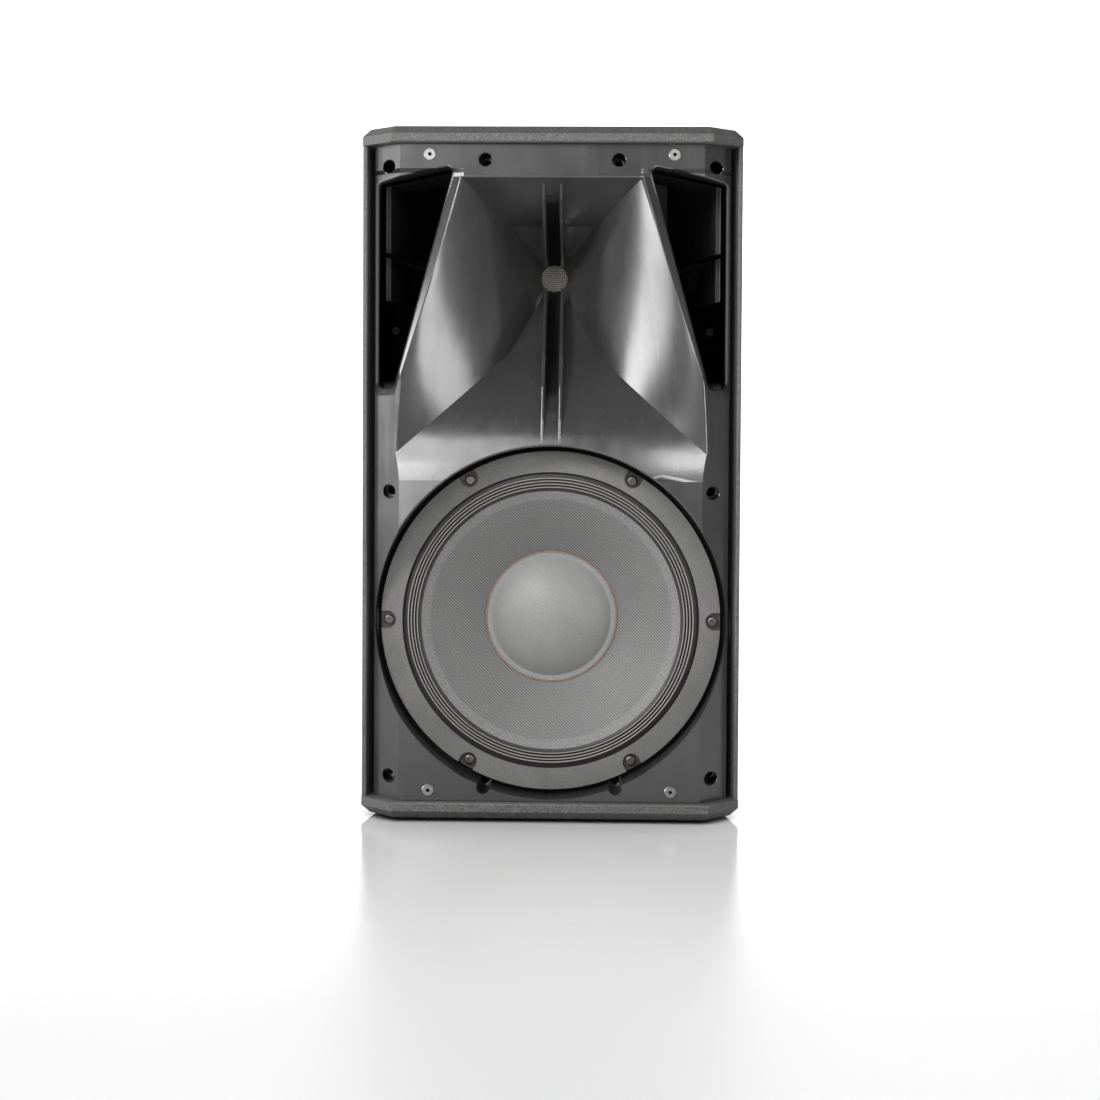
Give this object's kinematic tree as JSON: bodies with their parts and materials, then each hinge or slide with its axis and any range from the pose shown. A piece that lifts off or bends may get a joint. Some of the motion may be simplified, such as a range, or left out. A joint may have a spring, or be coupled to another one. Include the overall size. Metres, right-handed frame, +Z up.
{
  "type": "loudspeaker cabinet",
  "caption": "Two-way PA loudspeaker with its grille off: a wide moulded horn over a corrugated-surround woofer, corner port windows and a tapered box.",
  "frame": {"origin": "centre of the bounding box's footprint, on the floor under the feet", "axes": "+Z up along the cabinet's height, +X to the right seen from the front, the front faces -Y"},
  "size_m": [0.346, 0.3518, 0.628],
  "materials": {
    "moulded_front": "semi-gloss black moulded plastic, lightly scuffed",
    "duct_plastic": "matt black moulded plastic",
    "panel_paint": "plywood under textured charcoal black paint",
    "bare_plywood": "bare birch plywood",
    "fitting_plastic": "black textured plastic",
    "socket_plastic": "black glossy plastic",
    "gasket_foam": "fine-grained grey-black gasket",
    "strip_foam": "black sealing foam",
    "basket_paint": "satin black painted steel, rusty at the screw notches",
    "surround_cloth": "coated corrugated cloth",
    "cone_paper": "dark grey pressed paper with a fine diagonal weave",
    "cap_cloth": "grey fine-grained cloth dome",
    "copper_trim": "copper-coloured ring",
    "copper_wire": "enamelled copper",
    "former_film": "polyimide film",
    "spider_cloth": "impregnated cloth",
    "plated_steel": "zinc plated steel",
    "ferrite": "dull dark ferrite",
    "screw_black": "blackened steel, cross recess",
    "bright_zinc": "bright zinc plate",
    "throat_screen": "woven steel screen",
    "hf_parts": "moulded phase plug and clamp",
    "titanium": "thin titanium dome",
    "hf_film": "polymer film surround",
    "rubber_foot": "black rubber",
    "board": "green circuit board",
    "spacer_nylon": "natural nylon",
    "capacitor_film": "dark red capacitor wrap",
    "resistor_cement": "white cement",
    "wire_pvc": "red PVC insulation",
    "damping_foam": "open-cell damping foam"
  },
  "bodies": {
    "cabinet": {"baffle_screws": "screw_black", "board_screws": "bright_zinc", "board_spacers": "spacer_nylon", "bottom_panel": "panel_paint", "capacitors": "capacitor_film", "crossover_board": "board", "feet": "rubber_foot", "foam_pads": "damping_foam", "foot_screws": "bright_zinc", "front_frame": "bare_plywood", "front_gasket": "strip_foam", "front_moulding": "moulded_front", "grille_inserts": "bright_zinc", "handle_left": "fitting_plastic", "handle_right": "fitting_plastic", "handle_screws": "screw_black", "hf_bolts": "bright_zinc", "hf_clamp_ring": "hf_parts", "hf_gasket": "gasket_foam", "hf_leads": "wire_pvc", "hf_magnet": "ferrite", "hf_phase_plug": "hf_parts", "hf_pole_piece": "plated_steel", "hf_rear_cover": "hf_parts", "hf_surround": "hf_film", "hf_throat_mesh": "throat_screen", "hf_top_plate": "plated_steel", "inductors": "copper_wire", "input_dish": "fitting_plastic", "input_dish_screws": "screw_black", "input_leads": "wire_pvc", "input_socket_screws": "screw_black", "input_sockets": "socket_plastic", "pole_socket": "fitting_plastic", "pole_socket_screws": "screw_black", "port_duct_left": "duct_plastic", "port_duct_right": "duct_plastic", "rear_panel": "panel_paint", "resistors": "resistor_cement", "rigging_inserts": "bright_zinc", "side_panel_left": "panel_paint", "side_panel_right": "panel_paint", "top_panel": "panel_paint", "woofer_basket": "basket_paint", "woofer_gasket": "gasket_foam", "woofer_leads": "wire_pvc", "woofer_magnet": "ferrite", "woofer_screws": "screw_black", "woofer_spider": "spider_cloth", "woofer_surround": "surround_cloth", "woofer_terminals": "board", "woofer_top_plate": "plated_steel", "woofer_yoke": "plated_steel"},
    "woofer_moving": {"woofer_cone": "cone_paper", "woofer_dust_cap": "cap_cloth", "woofer_cap_ring": "copper_trim", "woofer_coil_former": "former_film", "woofer_coil_winding": "copper_wire"},
    "hf_moving": {"hf_diaphragm": "titanium"}
  },
  "joints": [
    {"name": "woofer_excursion", "type": "slide", "parent": "cabinet", "child": "woofer_moving", "axis": [0, -1, 0], "range_m": [-0.006, 0.006], "stiffness_N_per_m": 5000, "deforming": ["woofer_surround", "woofer_spider"]},
    {"name": "hf_excursion", "type": "slide", "parent": "cabinet", "child": "hf_moving", "axis": [0, -1, 0], "range_m": [-0.0003, 0.0003], "stiffness_N_per_m": 300, "deforming": ["hf_surround"]}
  ]
}
